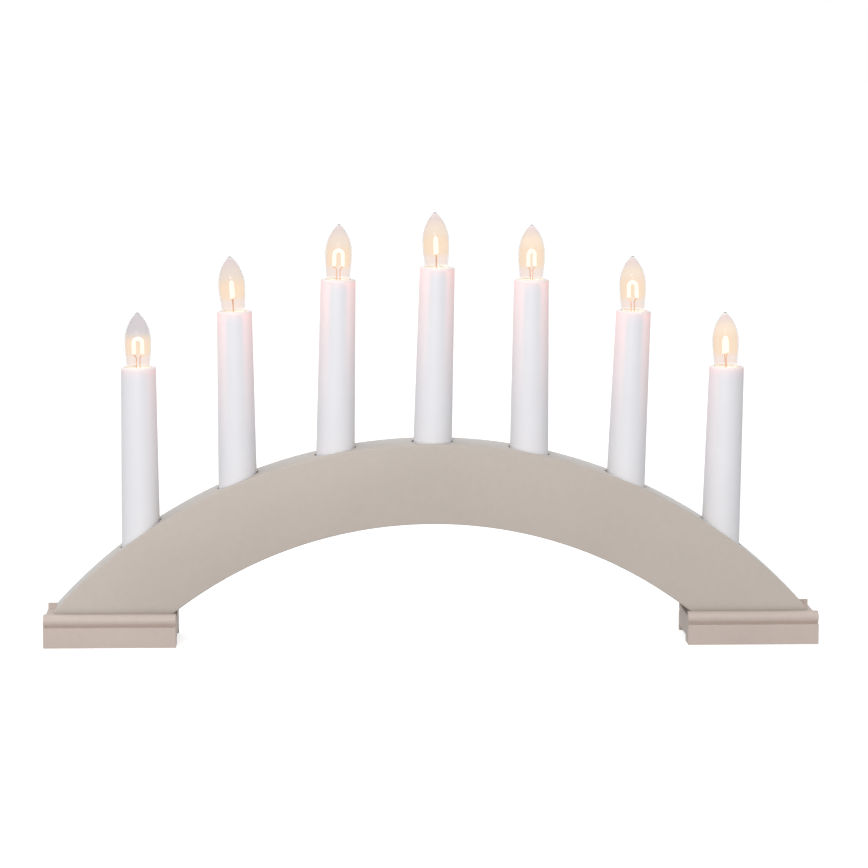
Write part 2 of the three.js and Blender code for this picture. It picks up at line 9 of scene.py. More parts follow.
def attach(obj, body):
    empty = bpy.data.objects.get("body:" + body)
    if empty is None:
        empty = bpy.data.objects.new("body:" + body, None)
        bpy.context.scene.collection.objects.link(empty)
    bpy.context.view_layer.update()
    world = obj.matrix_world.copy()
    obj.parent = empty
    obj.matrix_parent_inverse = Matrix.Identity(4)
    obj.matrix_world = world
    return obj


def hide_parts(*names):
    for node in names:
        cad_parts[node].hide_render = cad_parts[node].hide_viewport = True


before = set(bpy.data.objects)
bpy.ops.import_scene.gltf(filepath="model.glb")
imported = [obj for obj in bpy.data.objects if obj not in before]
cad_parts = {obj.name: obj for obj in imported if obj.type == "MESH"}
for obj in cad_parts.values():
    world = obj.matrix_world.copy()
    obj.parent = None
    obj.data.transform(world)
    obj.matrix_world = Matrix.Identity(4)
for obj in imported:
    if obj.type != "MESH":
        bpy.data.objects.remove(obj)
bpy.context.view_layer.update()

# ---- Camera ---------------------------------------------------------------------------------
# The photograph was taken with a long lens from a step back, a little left of the middle and a
# little above the candles, so the near edge of each foot shows and the arch's top shows a strip.
film_width, lens_mm = 36, 120.20
camera_place = Vector((-0.0720, -1.555, 0.3346))
camera_yaw, camera_pitch, camera_roll = 0.04687, 0.14127, 0.0042
camera_reach = 100
forward = Vector((math.sin(camera_yaw) * math.cos(camera_pitch),
                  math.cos(camera_yaw) * math.cos(camera_pitch), -math.sin(camera_pitch)))
level = Vector((math.cos(camera_yaw), -math.sin(camera_yaw), 0))
upright = level.cross(forward)
right = math.cos(camera_roll) * level + math.sin(camera_roll) * upright
up = math.cos(camera_roll) * upright - math.sin(camera_roll) * level
camera_data = bpy.data.cameras.new("photo_camera")
camera_data.sensor_width = film_width
camera_data.lens = lens_mm
camera_data.clip_end = camera_reach
camera = bpy.data.objects.new("photo_camera", camera_data)
camera.matrix_world = Matrix((right, up, -forward)).transposed().to_4x4()
camera.location = camera_place
bpy.context.collection.objects.link(camera)
bpy.context.scene.camera = camera
bpy.context.scene.view_settings.view_transform = "Standard"

# ---- White studio ---------------------------------------------------------------------------
# The object stands on a white sweep in even light. The sweep and the walls look plain white to
# the camera, and to the metal and glass, while the light that they throw stays at a plain level.
white, black = (1, 1, 1, 1), (0, 0, 0, 1)
paper_colour, paper_bounce = (0.66, 0.66, 0.66, 1), (0.50, 0.50, 0.51, 1)
paper_lift, paper_roughness = 0.68, 0.9
room_light = 0.56
key_place, key_watts, key_width = (-0.42, -2.2, 0.95), 30, 1.1
fill_place, fill_watts, fill_width = (-0.6, 0.2, 2.2), 11.5, 1.6
fill_colour = (0.96, 1.0, 1.06)
light_aim = Vector((0, 0, 0.1))
sweep_half_width = 15


def feed(tree, node, values):
    """Gives each input of a node a number or a colour, or joins another node's output to it."""
    for socket, value in values.items():
        if isinstance(value, bpy.types.NodeSocket):
            tree.links.new(value, node.inputs[socket])
        else:
            node.inputs[socket].default_value = value


def add_maths(tree, operation, first, second):
    """A maths node on two outputs, or on an output and a number."""
    node = tree.nodes.new("ShaderNodeMath")
    node.operation = operation
    feed(tree, node, {0: first, 1: second})
    return node.outputs["Value"]


def add_mix(tree, first, second, factor, blend="MIX"):
    """A mix of two colours or outputs."""
    node = tree.nodes.new("ShaderNodeMix")
    node.data_type = "RGBA"
    node.blend_type = blend
    feed(tree, node, {"A": first, "B": second, "Factor": factor})
    return node.outputs["Result"]


def add_range(tree, value, low, high, to_low, to_high, smooth=False):
    """Maps an output between two values to two others, and no further."""
    node = tree.nodes.new("ShaderNodeMapRange")
    if smooth:
        node.interpolation_type = "SMOOTHSTEP"
    feed(tree, node, {"Value": value, "From Min": low, "From Max": high,
                      "To Min": to_low, "To Max": to_high})
    return node.outputs["Result"]


def seen_by(tree):
    """1 for the camera's own rays, and 1 for the rays that a glossy or clear surface sends on."""
    path = tree.nodes.new("ShaderNodeLightPath")
    sent_on = add_maths(tree, "MAXIMUM", path.outputs["Is Glossy Ray"],
                        path.outputs["Is Transmission Ray"])
    return path.outputs["Is Camera Ray"], sent_on


def nodes_of(material):
    """A material's node tree and its shader."""
    material.use_nodes = True
    return material.node_tree, material.node_tree.nodes["Principled BSDF"]


world = bpy.data.worlds.new("white_studio")
bpy.context.scene.world = world
world.use_nodes = True
tree = world.node_tree
looked_at = add_maths(tree, "MAXIMUM", *seen_by(tree))
feed(tree, tree.nodes["Background"],
     {"Color": white, "Strength": add_range(tree, looked_at, 0, 1, room_light, 1)})

sweep = bpy.data.materials.new("white_sweep")
tree, paper = nodes_of(sweep)
by_camera, by_surface = seen_by(tree)
tone = add_mix(tree, paper_bounce, paper_colour, by_camera)
lift = add_maths(tree, "ADD", add_maths(tree, "MULTIPLY", by_camera, paper_lift), by_surface)
feed(tree, paper, {"Base Color": add_mix(tree, tone, black, by_surface),
                   "Roughness": paper_roughness, "Specular IOR Level": 0,
                   "Emission Color": white, "Emission Strength": lift})
floor_mesh = bpy.data.meshes.new("floor")
shape = bmesh.new()
bmesh.ops.create_grid(shape, x_segments=1, y_segments=1, size=sweep_half_width)
shape.to_mesh(floor_mesh)
shape.free()
floor_mesh.materials.append(sweep)
floor = bpy.data.objects.new("floor", floor_mesh)
bpy.context.collection.objects.link(floor)


def soft_box(name, place, watts, width, colour=(1, 1, 1)):
    """A round area light that faces the middle of the object."""
    lamp = bpy.data.lights.new(name, "AREA")
    lamp.color = colour
    lamp.shape = "DISK"
    lamp.size = width
    lamp.energy = watts
    holder = bpy.data.objects.new(name, lamp)
    holder.location = place
    holder.rotation_mode = "QUATERNION"
    holder.rotation_quaternion = (light_aim - Vector(place)).to_track_quat("-Z", "Y")
    bpy.context.collection.objects.link(holder)


soft_box("key_softbox", key_place, key_watts, key_width)
soft_box("top_softbox", fill_place, fill_watts, fill_width, fill_colour)

# ---- Arch board -----------------------------------------------------------------------------
# One piece of fibre board, sawn to two arcs with different centres, so that it widens towards its
# toes. Its edges are eased, it is drilled for the tubes, and it has sprayed satin greige paint.
arch_colour, arch_roughness, arch_gloss = (0.500, 0.439, 0.387, 1), 0.52, 0.55
arch_sheen = {"Sheen Weight": 0.3, "Sheen Roughness": 0.35, "Sheen Tint": (0.85, 0.94, 1.0, 1)}
arch_thickness = 30
outer_radius, outer_centre = 275.606, -166.106
inner_radius, inner_centre = 227.208, -161.108
arch_bottom, toe_x = 15.0, 204.5
saw_spare, arch_edge = 6, 0.8
board_steps, strip_steps, slice_gap = 128, 96, 1e-5
# Painted shade on the arch's paint just above the feet: the heights where it starts and is fullest,
# its depth and how it falls off
contact_shade_top, contact_shade_bottom, contact_shade_depth, contact_shade_fall = 23.8, 17.8, 0.27, 3.0
tube_count, tube_pitch = 7, 52.65
bore_radius, bore_reach, bore_sides = 11.3, 60, 64
bore_depth_crown, bore_depth_ends = 22, 26
channel_top, channel_width = 234.2, 7.6
rebate_top, rebate_width, rebate_open = 229.2, 16.4, 2
channel_end = 137.5
wire_hole_radius, wire_hole_spread, wire_hole_lap = 3.5, 0.84, 1
inlet_x, inlet_distance, inlet_radius, inlet_reach = 110, 234, 4, 30
screw_places = (-190, -168, 168, 190)
screw_seat, screw_hole_radius, screw_hole_top, screw_sides = 3.7, 2.3, 28, 24
weld = 1e-4


def arc_of(shape, radius, centre, half_angle, steps, y):
    """An open chain of edges from one end of an arc to the other, in the plane at y."""
    first = shape.verts.new((-radius * math.sin(half_angle), y,
                             centre + radius * math.cos(half_angle)))
    before = set(shape.edges)
    bmesh.ops.spin(shape, geom=[first], cent=(0, y, centre), axis=(0, 1, 0),
                   angle=2 * half_angle, steps=steps)
    return [edge for edge in shape.edges if edge not in before]


def pulled_out(shape, faces, way):
    """Extrudes faces of a shape along a vector."""
    moved = bmesh.ops.extrude_face_region(shape, geom=faces)["geom"]
    bmesh.ops.translate(shape, vec=way,
                        verts=[part for part in moved if isinstance(part, bmesh.types.BMVert)])


def between_arcs(outer, inner, width, steps):
    """A solid between two arcs (radius, centre, half angle), extruded evenly about y = 0."""
    shape = bmesh.new()
    edges = arc_of(shape, *outer, steps, -width / 2) + arc_of(shape, *inner, steps, -width / 2)
    faces = bmesh.ops.bridge_loops(shape, edges=edges)["faces"]
    pulled_out(shape, faces, (0, width, 0))
    bmesh.ops.recalc_face_normals(shape, faces=shape.faces)
    return shape


def drill(shape, start, end, radius, sides=48):
    """Adds a round cutter between two points to a bmesh of cutters."""
    axis = Vector(end) - Vector(start)
    middle = (Vector(start) + Vector(end)) / 2
    place = Matrix.Translation(middle) @ axis.to_track_quat("Z", "Y").to_matrix().to_4x4()
    bmesh.ops.create_cone(shape, cap_ends=True, segments=sides, radius1=radius, radius2=radius,
                          depth=axis.length, matrix=place)


def cut_away(shape, cutters, operation="DIFFERENCE"):
    """The shape less each of the cutters, or joined with them, as a new bmesh."""
    cuts = [bpy.data.objects.new("blank", bpy.data.meshes.new("blank"))]
    shape.to_mesh(cuts[0].data)
    shape.free()
    for cutter in cutters:
        tool = bpy.data.objects.new("tool", bpy.data.meshes.new("tool"))
        cutter.to_mesh(tool.data)
        cutter.free()
        cut = cuts[0].modifiers.new("cut", "BOOLEAN")
        cut.operation = operation
        cut.solver = "EXACT"
        cut.object = tool
        cuts.append(tool)
    for thing in cuts:
        bpy.context.collection.objects.link(thing)
    scene_now = bpy.context.evaluated_depsgraph_get()
    solid = bpy.data.meshes.new_from_object(cuts[0].evaluated_get(scene_now))
    result = bmesh.new()
    result.from_mesh(solid)
    bpy.data.meshes.remove(solid)
    for thing in cuts:
        bpy.data.meshes.remove(thing.data)
    bmesh.ops.remove_doubles(result, verts=result.verts, dist=weld)
    open_edges = [edge for edge in result.edges if edge.is_boundary]
    bmesh.ops.holes_fill(result, edges=open_edges, sides=4)
    bmesh.ops.recalc_face_normals(result, faces=result.faces)
    return result


def ease_edges(shape, width, segments, chosen=lambda edge: True, sharp_from=math.radians(40)):
    """Rounds the chosen edges between faces that meet sharply."""
    sharp = [edge for edge in shape.edges
             if edge.calc_face_angle(0) > sharp_from and chosen(edge)]
    bmesh.ops.bevel(shape, geom=sharp, offset=width, offset_type="OFFSET", affect="EDGES",
                    segments=segments, profile=0.5, material=-1, clamp_overlap=True)


def finished(name, shape, material, body, nodes, place=None, sharp=35):
    """Makes a piece of a bmesh drawn in millimetres, in place, that stands for CAD nodes."""
    size = Matrix.Scale(0.001, 4)
    bmesh.ops.transform(shape, matrix=size @ place if place else size, verts=shape.verts)
    mesh = bpy.data.meshes.new(name)
    shape.to_mesh(mesh)
    shape.free()
    mesh.shade_smooth()
    mesh.set_sharp_from_angle(angle=math.radians(sharp))
    mesh.materials.append(material)
    piece = bpy.data.objects.new(name, mesh)
    bpy.context.collection.objects.link(piece)
    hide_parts(*nodes)
    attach(piece, body)
    return piece


def add_noise(tree, place, scale, detail, roughness):
    noise = tree.nodes.new("ShaderNodeTexNoise")
    feed(tree, noise, {"Vector": place, "Scale": scale, "Detail": detail, "Roughness": roughness})
    return noise.outputs["Fac"]


def add_scale(tree, colour, share):
    """A colour, or an output, times a number."""
    node = tree.nodes.new("ShaderNodeVectorMath")
    node.operation = "SCALE"
    feed(tree, node, {0: colour, "Scale": share})
    return node.outputs["Vector"]


def new_surface(name, *noises):
    """A node group for a surface, from its base colour, place and roughness to a colour, a
    roughness and a height, with its noises of (scale, detail, roughness)."""
    group = bpy.data.node_groups.new(name, "ShaderNodeTree")
    for way, label, kind in (("INPUT", "Base", "Color"), ("INPUT", "Place", "Vector"),
                             ("INPUT", "Roughness", "Float"), ("OUTPUT", "Color", "Color"),
                             ("OUTPUT", "Roughness", "Float"), ("OUTPUT", "Height", "Float")):
        group.interface.new_socket(label, in_out=way, socket_type=f"NodeSocket{kind}")
    given = group.nodes.new("NodeGroupInput").outputs
    return group, given, [add_noise(group, given["Place"], *noise) for noise in noises]


def uneven(tree, noise, low, high, noise_span=(0.3, 0.7)):
    """Passes from one value to another over the middle of a noise."""
    return add_range(tree, noise, *noise_span, low, high)


def finish_surface(group, given, tone, spread, height):
    """Shades the base colour by the tone and adds the spread to the roughness."""
    feed(group, group.nodes.new("NodeGroupOutput"),
         {"Color": add_scale(group, given["Base"], tone),
          "Roughness": add_maths(group, "ADD", spread, given["Roughness"]), "Height": height})


# Sprayed paint: slow changes of tone, a fine orange-peel surface and a few raised fibres
slow_noise, peel_noise, fibre_noise = (14, 3, 0.5), (900, 4, 0.6), (260, 3, 0.6)
paint_tone, paint_spread, peel_depth = (0.965, 1.03), (-0.05, 0.07), 0.00002
fleck_tone, fleck_span = (1.012, 0.975), (0.35, 0.75)
paint_film, given, (slow, peel, fibre) = new_surface(
    "paint_film", slow_noise, peel_noise, fibre_noise)
fleck = uneven(paint_film, fibre, *fleck_tone, fleck_span)
finish_surface(paint_film, given,
               add_maths(paint_film, "MULTIPLY", uneven(paint_film, slow, *paint_tone), fleck),
               uneven(paint_film, slow, *paint_spread), add_maths(paint_film, "ADD", peel, fibre))


def surfaced(name, group, colour, roughness, depth):
    """A material that gets its colour, roughness and bump from a surface group."""
    material = bpy.data.materials.new(name)
    tree, shader = nodes_of(material)
    film = tree.nodes.new("ShaderNodeGroup")
    film.node_tree = group
    feed(tree, film, {"Base": colour, "Roughness": roughness,
                      "Place": tree.nodes.new("ShaderNodeTexCoord").outputs["Object"]})
    bump = tree.nodes.new("ShaderNodeBump")
    feed(tree, bump, {"Distance": depth, "Strength": 1.0, "Height": film.outputs["Height"]})
    feed(tree, shader, {"Base Color": film.outputs["Color"],
                        "Roughness": film.outputs["Roughness"], "Normal": bump.outputs["Normal"]})
    return material


def painted(name, colour, roughness, gloss):
    material = surfaced(name, paint_film, colour, roughness, peel_depth)
    tree, shader = nodes_of(material)
    feed(tree, shader, {"Specular IOR Level": gloss})
    return material


def along(tree, axis):
    """How far along an axis a point of the piece lies, in metres."""
    split = tree.nodes.new("ShaderNodeSeparateXYZ")
    feed(tree, split, {"Vector": tree.nodes["Texture Coordinate"].outputs["Object"]})
    return split.outputs[axis]


def inner_angle(x, distance):
    return math.asin(x / distance)


def on_inner_arc(distance, angle):
    return Vector((distance * math.sin(angle), 0, inner_centre + distance * math.cos(angle)))


def tube_x(i):
    return (i - (tube_count - 1) / 2) * tube_pitch


def bore_depth(i):
    share = abs(tube_x(i)) / tube_x(tube_count - 1)
    return bore_depth_crown + (bore_depth_ends - bore_depth_crown) * share


def bore_floor(i):
    return outer_centre + math.sqrt(outer_radius ** 2 - tube_x(i) ** 2) - bore_depth(i)


arch_paint = painted("greige_arch_paint", arch_colour, arch_roughness, arch_gloss)
tree, shader = nodes_of(arch_paint)
film = shader.inputs["Base Color"].links[0].from_socket
# Painted shade: the arch's paint darkens over the last 6 mm above the feet's beads, standing in for
# the shade where the board stands in the feet
near_foot = add_range(tree, along(tree, "Z"), contact_shade_top / 1000, contact_shade_bottom / 1000, 0, 1)
contact_shade = add_maths(tree, "MULTIPLY", add_maths(tree, "POWER", near_foot, contact_shade_fall), contact_shade_depth)
feed(tree, shader,
     {"Base Color": add_scale(tree, film, add_maths(tree, "SUBTRACT", 1.0, contact_shade)), **arch_sheen})
saw_line = arch_bottom - saw_spare
outer_half = math.acos((saw_line - outer_centre) / outer_radius)
inner_half = math.acos((saw_line - inner_centre) / inner_radius)
board = between_arcs((outer_radius, outer_centre, outer_half),
                     (inner_radius, inner_centre, inner_half), arch_thickness, board_steps)
for point, normal in (((0, 0, arch_bottom), (0, 0, -1)), ((toe_x, 0, 0), (1, 0, 0)),
                      ((-toe_x, 0, 0), (-1, 0, 0))):
    everything = board.verts[:] + board.edges[:] + board.faces[:]
    bmesh.ops.bisect_plane(board, geom=everything, dist=slice_gap, plane_co=point, plane_no=normal,
                           clear_outer=True)
    bmesh.ops.holes_fill(board, edges=board.edges[:], sides=0)
ease_edges(board, arch_edge, 4)

bores, wire_holes, screw_holes, inlet = (bmesh.new() for _ in range(4))
for i in range(tube_count):
    foot = Vector((tube_x(i), 0, bore_floor(i)))
    drill(bores, foot, foot + Vector((0, 0, bore_reach)), bore_radius,
          sides=bore_sides)
    middle = (rebate_top + channel_top) / 2
    start = on_inner_arc(middle, inner_angle(wire_hole_spread * tube_x(i), middle))
    drill(wire_holes, start, foot + Vector((0, 0, wire_hole_lap)), wire_hole_radius)
for x in screw_places:
    drill(screw_holes, (x, 0, 0), (x, 0, screw_hole_top), screw_hole_radius, sides=screw_sides)
channel_half = inner_angle(channel_end, rebate_top)
below = (inner_radius - rebate_open, inner_centre, channel_half)
channel, rebate = (between_arcs((top, inner_centre, channel_half), below, width, strip_steps)
                   for top, width in ((channel_top, channel_width), (rebate_top, rebate_width)))
inlet_middle = on_inner_arc(inlet_distance, -inner_angle(inlet_x, inlet_distance))
drill(inlet, inlet_middle, inlet_middle + Vector((0, inlet_reach, 0)), inlet_radius)
board = cut_away(board, (bores, wire_holes, screw_holes, channel, rebate, inlet))
finished("arch_board", board, arch_paint, "stand", ["arch"], sharp=20)

# ---- Channel cover --------------------------------------------------------------------------
# A thin strip of painted fibre board, bent into the rebate under the arch and glued there, over
# the channel that the leads lie in.
cover_inner, cover_outer, cover_width = 227.5, 228.9, 15.8
cover_gap, cover_edge = 0.3, 0.2
cover_half = channel_half - cover_gap / inner_radius
cover = between_arcs((cover_outer, inner_centre, cover_half),
                     (cover_inner, inner_centre, cover_half), cover_width, strip_steps)
ease_edges(cover, cover_edge, 2)
finished("channel_cover_strip", cover, arch_paint, "stand", ["channel_cover"],
         sharp=20)

# ---- Feet -----------------------------------------------------------------------------------
# Two short lengths of moulding, painted like the arch: a plinth, a round bead along each top edge
# with a paint-filled quirk under it, a bed that the arch stands in, and a wide groove underneath,
# which leaves a broad strip along the front and a thin one along the back to stand on.
foot_colour, foot_roughness, foot_gloss = (0.547, 0.460, 0.409, 1), 0.50, 0.35
foot_length, foot_span = 71.3, 420
foot_height, plinth_height = 17.8, 11.1
half_depth = 20.497
bead_radius, bead_turn_under, bead_steps = 3.387, math.radians(44), 20
bed_half_width, crest_flat = 15.3, 1.21
quirk_depth = 0.46
front_strip, back_strip, groove_height = 11.2, 2.2, 3.4
foot_edge = 0.25
countersink = ((0, -1), (4.3, -1), (4.3, 0.7), (2.3, 2.7), (2.3, 20), (0, 20))
countersink_sides, near = 32, 0.01
foot_paint = painted("greige_foot_paint", foot_colour, foot_roughness, foot_gloss)


def chained(shape, verts):
    for pair in zip(verts, verts[1:]):
        shape.edges.new(pair)


def in_section(shape, points):
    return [shape.verts.new((0, y, z)) for y, z in points]


def foot_section(shape):
    """The foot's section in the plane x = 0: one half, its mirror image, and the groove below."""
    bead_y, bead_z = -(bed_half_width + crest_flat), foot_height - bead_radius
    crest = shape.verts.new((0, bead_y, foot_height))
    spun = bmesh.ops.spin(shape, geom=[crest], cent=(0, bead_y, bead_z), axis=(1, 0, 0),
                          angle=math.pi / 2 + bead_turn_under, steps=bead_steps)
    last = [part for part in spun["geom_last"] if isinstance(part, bmesh.types.BMVert)][0]
    chained(shape, in_section(shape, ((0, arch_bottom), (-bed_half_width, arch_bottom),
                                      (-bed_half_width, foot_height))) + [crest])
    quirk = last.co.y + quirk_depth
    plinth = (quirk, plinth_height), (-half_depth, plinth_height), (-half_depth, 0)
    chained(shape, [last] + in_section(shape, plinth))
    bmesh.ops.mirror(shape, geom=shape.verts[:] + shape.edges[:], axis="Y", merge_dist=weld)
    bmesh.ops.remove_doubles(shape, verts=shape.verts, dist=weld)
    ends = sorted((vert for vert in shape.verts if vert.co.z < near), key=lambda vert: vert.co.y)
    groove_front, groove_back = front_strip - half_depth, half_depth - back_strip
    chained(shape, ends[:1] + in_section(shape, ((groove_front, 0), (groove_front, groove_height),
                                                 (groove_back, groove_height), (groove_back, 0)))
            + ends[1:])
    return bmesh.ops.contextual_create(shape, geom=shape.edges[:])["faces"]


def countersunk_holes(places):
    """Cutters for the foot screws, with their heads at the groove."""
    cutters = bmesh.new()
    for x in places:
        chain = [cutters.verts.new((x + radius, 0, screw_seat + height))
                 for radius, height in countersink]
        edges = [cutters.edges.new(pair) for pair in zip(chain, chain[1:])]
        bmesh.ops.spin(cutters, geom=chain + edges, cent=(x, 0, 0), axis=(0, 0, 1),
                       angle=2 * math.pi, steps=countersink_sides, use_merge=True)
    bmesh.ops.remove_doubles(cutters, verts=cutters.verts, dist=weld)
    bmesh.ops.recalc_face_normals(cutters, faces=cutters.faces)
    return cutters


for side, node in ((-1, "left_foot"), (1, "right_foot")):
    foot = bmesh.new()
    pulled_out(foot, foot_section(foot), (foot_length, 0, 0))
    bmesh.ops.translate(foot, verts=foot.verts,
                        vec=(side * (foot_span - foot_length) / 2 - foot_length / 2, 0, 0))
    bmesh.ops.recalc_face_normals(foot, faces=foot.faces)
    ends = [pick(vert.co.x for vert in foot.verts) for pick in (min, max)]
    ease_edges(foot, foot_edge, 2, lambda edge: any(
        all(abs(vert.co.x - end) < near for vert in edge.verts) for end in ends))
    foot = cut_away(foot, [countersunk_holes([x for x in screw_places if x * side > 0])])
    finished(f"{node}_moulding", foot, foot_paint, "stand", [node], sharp=20)

# ---- Foot screws ----------------------------------------------------------------------------
# Zinc-plated countersunk wood screws with a cross recess, two to a foot. They are driven up from
# the groove, through the foot and into the arch's toe.
zinc_colour, zinc_roughness = (0.60, 0.61, 0.60, 1), 0.3
screw_profile = [(0, 0), (3.8, 0), (4.0, 0.2), (4.0, 0.45), (2.0, 2.5), (2.0, 8.0)]
thread_start, thread_pitch, thread_turns = 8.0, 1.6, 8
thread_core, thread_crest, last_crest = 1.45, 2.0, 1.5
thread_heights = (0.5, 0.9, 1.3)
screw_point, screw_taper, screw_length = 1.0, 1.2, 23
recess_turn, recess_size = 0.5, (3.6, 0.7, 2.4, 1)
uv_unit = 100


def turned(profile, steps, closed=False, mark=0.0):
    """A profile of (radius, height) turned about the Z axis. Its UV maps keep the turn and the
    height, and the radius and a mark that tells one copy from the next, lengths in uv_unit."""
    shape = bmesh.new()
    chain = [shape.verts.new((radius, 0, height)) for radius, height in profile]
    following = chain[1:] + (chain[:1] if closed else [])
    edges = [shape.edges.new(pair) for pair in zip(chain, following)]
    bmesh.ops.spin(shape, geom=chain + edges, cent=(0, 0, 0), axis=(0, 0, 1),
                   angle=2 * math.pi, steps=steps, use_merge=True)
    bmesh.ops.remove_doubles(shape, verts=shape.verts, dist=weld)
    bmesh.ops.recalc_face_normals(shape, faces=shape.faces)
    wrap, girth = (shape.loops.layers.uv.new(label) for label in ("wrap", "girth"))
    for face in shape.faces:
        middle = face.calc_center_median()
        centre = math.atan2(middle.y, middle.x)
        for loop in face.loops:
            x, y, height = loop.vert.co
            offset = math.atan2(y, x) - centre if math.hypot(x, y) > weld else 0
            offset = (offset + math.pi) % (2 * math.pi) - math.pi
            loop[wrap].uv = ((centre + offset) / (2 * math.pi), height / uv_unit)
            loop[girth].uv = (math.hypot(x, y) / uv_unit, mark)
    return shape


# Rolled, drawn or plated metal: fine streaks and slight changes of tone
streak_noise, cloud_noise = (700, 3, 0.6), (160, 2, 0.5)
metal_tone, metal_spread, streak_depth = (0.88, 1.08), (-0.06, 0.1), 0.000004
metal_skin, given, (streak, cloud) = new_surface("metal_skin", streak_noise, cloud_noise)
finish_surface(metal_skin, given, uneven(metal_skin, cloud, *metal_tone),
               uneven(metal_skin, streak, *metal_spread), streak)


def metal(name, colour, roughness):
    material = surfaced(name, metal_skin, colour, roughness, streak_depth)
    tree, shader = nodes_of(material)
    feed(tree, shader, {"Metallic": 1})
    return material


zinc = metal("bright_zinc_plate", zinc_colour, zinc_roughness)
for k, x in enumerate(screw_places):
    profile = list(screw_profile)
    for turn in range(thread_turns):
        base = thread_start + turn * thread_pitch
        crest = thread_crest if turn < thread_turns - 1 else last_crest
        profile += zip((thread_core, crest, thread_core),
                       (base + height for height in thread_heights))
    profile += [(screw_point, screw_length - screw_taper), (0, screw_length)]
    screw = turned(profile, screw_sides)
    blades = [bmesh.new(), bmesh.new()]
    for blade, turn in zip(blades, (recess_turn, recess_turn + math.pi / 2)):
        bmesh.ops.create_cube(blade, size=1, matrix=Matrix.Rotation(turn, 4, "Z")
                              @ Matrix.Diagonal(recess_size))
    screw = cut_away(screw, blades)
    finished(f"foot_screw_{k + 1}_zinc", screw, zinc, "stand",
             [f"foot_screw_{k + 1}"], place=Matrix.Translation((x, 0, screw_seat)))

# ---- Candle tubes ---------------------------------------------------------------------------
# Injection-moulded white tubes with a slight taper, an inward lip round the lamp's mouth, and two
# ribs on the part that stands in the bore. Each leans a little its own way. The sides that face a
# neighbouring lamp glow faintly pink, and the head and the rim glow warm from the tube's own lamp.
tube_white, tube_roughness, tube_gloss = (0.782, 0.773, 0.796, 1), 0.4, 0.3
tube_length, tube_base, tube_top = 116, 10.45, 9.4
tube_wall, spigot_length, base_round = 1.3, 22, 0.3
rim_round, rim_steps = 0.8, 5
mouth_radius, mouth_round, lip_thickness = 7.3, 0.3, 1.5
rib_length, rib_width, rib_height, rib_root, rib_round = 22.6, 1.2, 0.4, 1.0, 0.15
tube_lean = [math.radians(angle) for angle in (-0.3, -0.8, 0.9, 1.3, 0.3, 1.9, 1.1)]
seat_gap, tube_sides = 0.3, 72
flank_start, flank_full = 0.3, 0.65
inner_tubes, end_tubes = 0.135, 0.165
side_glow, side_glow_start, side_glow_rise = (0.27, 0.085, 0.065), 40, 1.5
head_glow, head_glow_start, head_glow_rise = (0.18, 0.01, 0.0), 108.5, 2.0
lip_glow, lip_glow_start, lip_glow_full = (0.18, 0.07, 0.02, 1), 113.8, 115.6
rim_glow = (0.18, 0.13, 0.10, 1)

# Moulded plastic: slow changes where it flowed into the mould, and the mould's fine surface
flow_noise, mould_noise = (35, 2, 0.5), (1100, 3, 0.5)
plastic_tone, plastic_spread, mould_depth = (0.985, 1.01), (-0.05, 0.05), 0.000004
plastic_skin, given, (flow, mould) = new_surface("plastic_skin", flow_noise, mould_noise)
finish_surface(plastic_skin, given, uneven(plastic_skin, flow, *plastic_tone),
               uneven(plastic_skin, flow, *plastic_spread), mould)


def plastic(name, colour, roughness):
    return surfaced(name, plastic_skin, colour, roughness, mould_depth)


def tube_place(i):
    """From a tube drawn upright on its base to its place in its bore."""
    pivot = bore_depth(i) / 2
    dip = tube_base * abs(math.sin(tube_lean[i]))
    seat = bore_floor(i) + seat_gap + dip + pivot
    return (Matrix.Translation((tube_x(i), 0, seat)) @ Matrix.Rotation(tube_lean[i], 4, "Y")
            @ Matrix.Translation((0, 0, -pivot)))


def kept(tree, layer, axis):
    """A measure that one of the piece's UV maps keeps."""
    uv_map = tree.nodes.new("ShaderNodeUVMap")
    uv_map.uv_map = layer
    split = tree.nodes.new("ShaderNodeSeparateXYZ")
    feed(tree, split, {"Vector": uv_map.outputs["UV"]})
    return split.outputs[axis]


def measured(tree, layer, axis, low, high, smooth=True):
    """0 to 1 between two values, in mm, of a measure kept in one of the piece's UV maps."""
    return add_range(tree, kept(tree, layer, axis), low / uv_unit, high / uv_unit, 0, 1, smooth)


def tinted(tree, below, above, low, high):
    """Passes from one colour, or an output, to another between two heights of the piece."""
    return add_mix(tree, below, above, measured(tree, "wrap", "Y", low, high))


tube_plastic = plastic("white_tube_plastic", tube_white, tube_roughness)
tree, shader = nodes_of(tube_plastic)
turn = add_maths(tree, "MULTIPLY", kept(tree, "wrap", "X"), 2 * math.pi)
sideways = add_maths(tree, "ABSOLUTE", add_maths(tree, "COSINE", turn, 0), 0)
flank = add_range(tree, sideways, flank_start, flank_full, 0, 1, smooth=True)
rise = add_maths(tree, "POWER", measured(tree, "wrap", "Y", side_glow_start, tube_length, False),
                 side_glow_rise)
from_middle = add_maths(tree, "ABSOLUTE", along(tree, "X"), 0)
between = add_range(tree, from_middle, inner_tubes, end_tubes, 1, 0, smooth=True)
on_sides = add_maths(tree, "MULTIPLY", add_maths(tree, "MULTIPLY", flank, rise), between)
on_head = add_maths(tree, "POWER", measured(tree, "wrap", "Y", head_glow_start, tube_length, False),
                    head_glow_rise)
glow = add_mix(tree, add_scale(tree, side_glow, on_sides), add_scale(tree, head_glow, on_head),
               1.0, "ADD")
glow = tinted(tree, glow, lip_glow, lip_glow_start, lip_glow_full)
glow = tinted(tree, glow, rim_glow, lip_glow_full, tube_length)
feed(tree, shader,
     {"Specular IOR Level": tube_gloss, "Emission Color": glow, "Emission Strength": 1.0})

